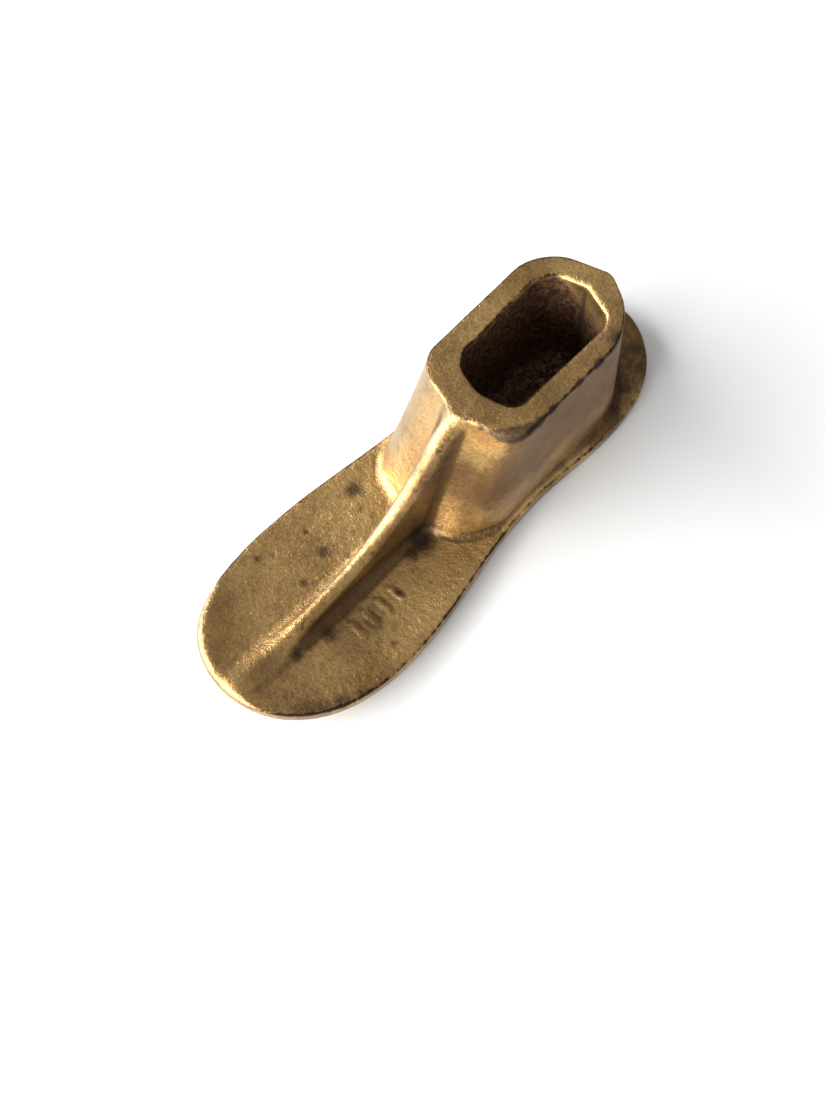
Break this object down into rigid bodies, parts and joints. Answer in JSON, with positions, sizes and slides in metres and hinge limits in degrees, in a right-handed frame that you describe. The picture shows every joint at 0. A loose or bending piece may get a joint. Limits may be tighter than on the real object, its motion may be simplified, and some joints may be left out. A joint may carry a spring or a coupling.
{
  "type": "shoe repair last",
  "caption": "Child's-size cobbler's last in gold-painted cast iron: a sole-shaped plate with toe spring, a hollow tower for a stand post and a rib to the toe.",
  "frame": {"origin": "under the middle of the overall box, on the plane the sole rests on", "axes": "+X from the heel to the toe, +Z from the sole up to the socket's rim, +Y completes a right-handed set"},
  "size_m": [0.1446, 0.0494, 0.04],
  "materials": {
    "gilt_cast_iron": "sand-cast iron brushed with gold bronze paint, worn to dark iron along its edges"
  },
  "bodies": {
    "root": {"sole_plate": "gilt_cast_iron", "socket_tower": "gilt_cast_iron", "toe_rib": "gilt_cast_iron", "size_mark": "gilt_cast_iron"}
  },
  "joints": []
}
